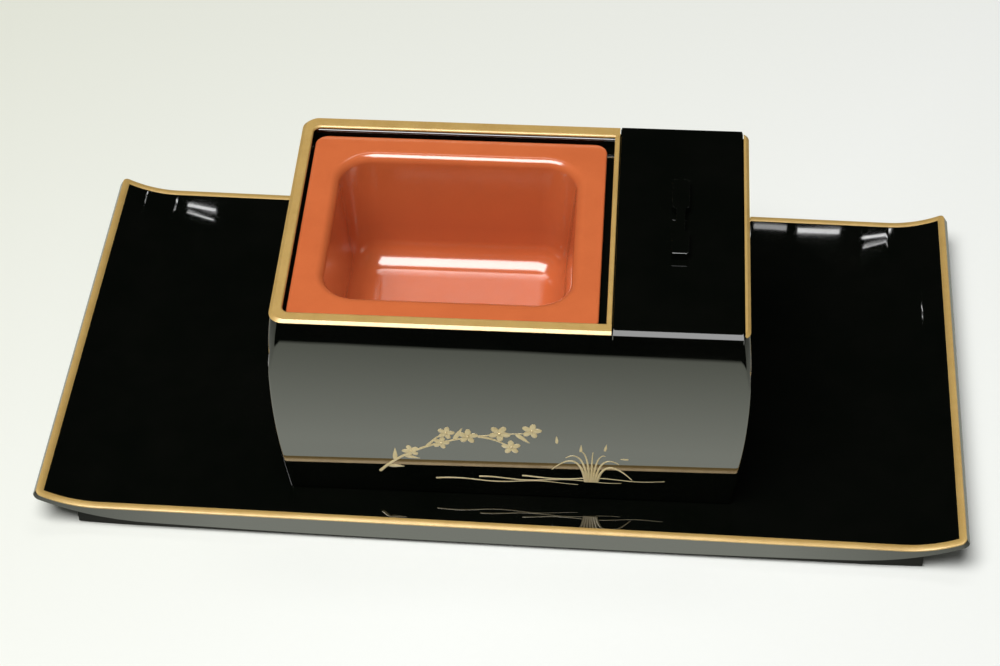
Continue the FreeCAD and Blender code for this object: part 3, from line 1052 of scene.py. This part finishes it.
floorMesh = bpy.data.meshes.new("floor")
floorMesh.from_pydata([(x * floorLook["half"], y * floorLook["half"], 0.0)
                       for x, y in ((-1, -1), (1, -1), (1, 1), (-1, 1))], [], [(0, 1, 2, 3)])
floorMesh.materials.append(whiteFloor())
floor = placed("floor", floorMesh)

roomLook = {"seen": colour(0.95, 0.97, 0.93), "ambient": 0.06, "mirror": 0.003}


def roomLight():
    world = bpy.data.worlds.new("studio")
    bpy.context.scene.world = world
    world.use_nodes = True
    world.cycles.sampling_method = "NONE"
    paint = Paint(world.node_tree)
    camera = paint.node("ShaderNodeLightPath", out="Is Camera Ray")
    glossy = paint.node("ShaderNodeLightPath", out="Is Glossy Ray")
    ambient = colour(*[roomLook["ambient"]] * 3)
    dark = colour(*[roomLook["mirror"]] * 3)
    shade = paint.blend(glossy, ambient, dark)
    shade = paint.blend(camera, shade, roomLook["seen"])
    paint.close(paint.node("ShaderNodeBackground", None, {"Color": shade}), "ShaderNodeOutputWorld")


roomLight()

lamps = {
    "softbox": {"at": (-0.60, -0.92, 2.85), "to": (-0.25, -0.10, 0.10), "size": (2.1, 1.75), "watts": 107.0},
    "backPanel": {"at": (0.10, 1.09, 2.85), "to": (0.10, -0.09, 0.12), "size": (1.6, 0.5), "watts": 5.6},
    "paneLeft": {"at": (0.283, 2.911, 2.5), "to": (0.283, 0.0, 0.0), "size": (0.066, 0.009), "watts": 0.0032},
    "paneRight": {
        "at": (0.379, 2.906, 2.5), "to": (0.379, 0.0, 0.0), "size": (0.082, 0.009), "watts": 0.0095},
}
# twin tubes far behind, mirrored small in the tray: the first of each pair is the thicker and brighter one
tubePairs = {
    "leftPair": {"x": -0.859, "y": 2.891, "turn": -10.0, "fan": -9.0},
    "rightPair": {"x": 0.492, "y": 2.899, "turn": 18.0, "fan": 7.0},
}
tubeLamp = {"apart": 0.025, "high": 2.5, "long": 0.060, "thick": (0.008, 0.005), "watts": (0.008, 0.004)}
for k, pair in enumerate(tubePairs.values()):
    for tube in range(2):
        x, y = pair["x"], pair["y"] - tubeLamp["apart"] * tube
        lamps["tube" + str(2 * k + tube)] = {
            "at": (x, y, tubeLamp["high"]), "to": (x, y, 0.0),
            "size": (tubeLamp["long"], tubeLamp["thick"][tube]),
            "watts": tubeLamp["watts"][tube], "turn": pair["turn"] + pair["fan"] * tube}


def addLamp(name, lamp):
    data = bpy.data.lights.new(name, "AREA")
    data.shape = "RECTANGLE"
    data.size, data.size_y = lamp["size"]
    data.energy = lamp["watts"]
    light = placed(name, data)
    light.location = lamp["at"]
    aim = (Vector(lamp["to"]) - Vector(lamp["at"])).to_track_quat("-Z", "Y")
    turn = Matrix.Rotation(math.radians(lamp.get("turn", 0.0)), 3, "Z").to_quaternion()
    light.rotation_euler = (turn @ aim).to_euler()


for name, lamp in lamps.items():
    addLamp(name, lamp)

cameraView = {
    "at": (0.07031, -0.88581, 0.89178), "yaw": 4.9761, "pitch": 45.8753, "roll": -0.6850,
    "lens": 91.0769, "sensor": 36.0,
}
cameraData = bpy.data.cameras.new("camera")
cameraData.lens = cameraView["lens"]
cameraData.sensor_width = cameraView["sensor"]
camera = placed("camera", cameraData)
turned = Matrix.Rotation(math.radians(cameraView["yaw"]), 4, "Z")
turned = turned @ Matrix.Rotation(math.radians(cameraView["pitch"]), 4, "X")
turned = turned @ Matrix.Rotation(math.radians(cameraView["roll"]), 4, "Z")
camera.matrix_world = Matrix.Translation(cameraView["at"]) @ turned
bpy.context.scene.camera = camera
bpy.context.scene.view_settings.view_transform = "Standard"
print("studio ready")
